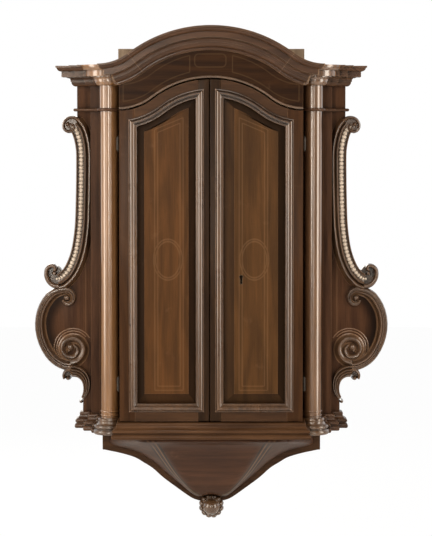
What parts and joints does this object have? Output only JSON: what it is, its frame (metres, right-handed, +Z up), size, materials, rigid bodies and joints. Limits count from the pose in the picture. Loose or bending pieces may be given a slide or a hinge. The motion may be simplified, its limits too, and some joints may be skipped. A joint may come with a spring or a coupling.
{
  "type": "hanging cabinet",
  "caption": "Wall-hung wooden cabinet with arched pediment, hinged panelled doors, side columns, scrolled wings, shelves inside and a console with a ball finial below.",
  "frame": {"origin": "midway between the two wall-fixing holes, on the back face", "axes": "+Z up, +Y into the wall, the doors face -Y, +X to the right seen from the front"},
  "size_m": [0.7084, 0.213, 0.9813],
  "materials": {
    "frame_wood": "dark walnut, waxed to a soft gloss",
    "wing_wood": "walnut, waxed, worn paler on its edges",
    "panel_wood": "figured walnut, waxed",
    "column_wood": "paler turned walnut, polished",
    "plain_wood": "unfinished greyish-brown softwood",
    "iron": "dark wrought iron",
    "brass": "dull brass"
  },
  "bodies": {
    "case": {"back_board": "plain_wood", "side_board_left": "wing_wood", "side_board_right": "wing_wood", "case_top": "plain_wood", "case_bottom": "plain_wood", "shelves": "plain_wood", "shelf_battens": "plain_wood", "frieze_board": "frame_wood", "arch_bead": "frame_wood", "pediment_cornice": "frame_wood", "wing_board_left": "wing_wood", "wing_board_right": "wing_wood", "column_backing_left": "wing_wood", "column_backing_right": "wing_wood", "cornice_left": "wing_wood", "cornice_right": "wing_wood", "column_cornice_left": "wing_wood", "column_cornice_right": "wing_wood", "column_drum_left": "column_wood", "column_drum_right": "column_wood", "neck_band_left": "wing_wood", "neck_band_right": "wing_wood", "column_left": "column_wood", "column_right": "column_wood", "base_left": "wing_wood", "base_right": "wing_wood", "column_base_left": "wing_wood", "column_base_right": "wing_wood", "base_front": "frame_wood", "upper_scroll_left": "wing_wood", "upper_scroll_right": "wing_wood", "beads_left": "column_wood", "beads_right": "column_wood", "lower_scroll_left": "wing_wood", "lower_scroll_right": "wing_wood", "leaf_scroll_left": "wing_wood", "leaf_scroll_right": "wing_wood", "console_plate": "wing_wood", "console_body": "wing_wood", "rosette": "wing_wood", "finial_ball": "column_wood", "hinge_case_leaves": "iron", "hinge_pins": "iron"},
    "left_door": {"left_hinge_stile": "frame_wood", "left_meeting_stile": "frame_wood", "left_rails": "frame_wood", "left_panel": "panel_wood", "left_moulding": "wing_wood", "left_door_leaves": "iron", "bolt_keeper": "iron"},
    "right_door": {"right_hinge_stile": "frame_wood", "right_meeting_stile": "frame_wood", "right_rails": "frame_wood", "right_panel": "panel_wood", "right_moulding": "wing_wood", "right_door_leaves": "iron", "lock_case": "iron", "keyhole_liner": "brass"},
    "bolt": {"lock_bolt": "brass"}
  },
  "joints": [
    {"name": "left_door_hinge", "type": "hinge", "parent": "case", "child": "left_door", "pos_m": [-0.1802, -0.1528, -0.4], "axis": [0, 0, -1], "range_deg": [0, 110]},
    {"name": "right_door_hinge", "type": "hinge", "parent": "case", "child": "right_door", "pos_m": [0.1802, -0.1528, -0.4], "axis": [0, 0, 1], "range_deg": [0, 110]},
    {"name": "lock_bolt_slide", "type": "slide", "parent": "right_door", "child": "bolt", "axis": [-1, 0, 0], "range_m": [0, 0.009]}
  ]
}
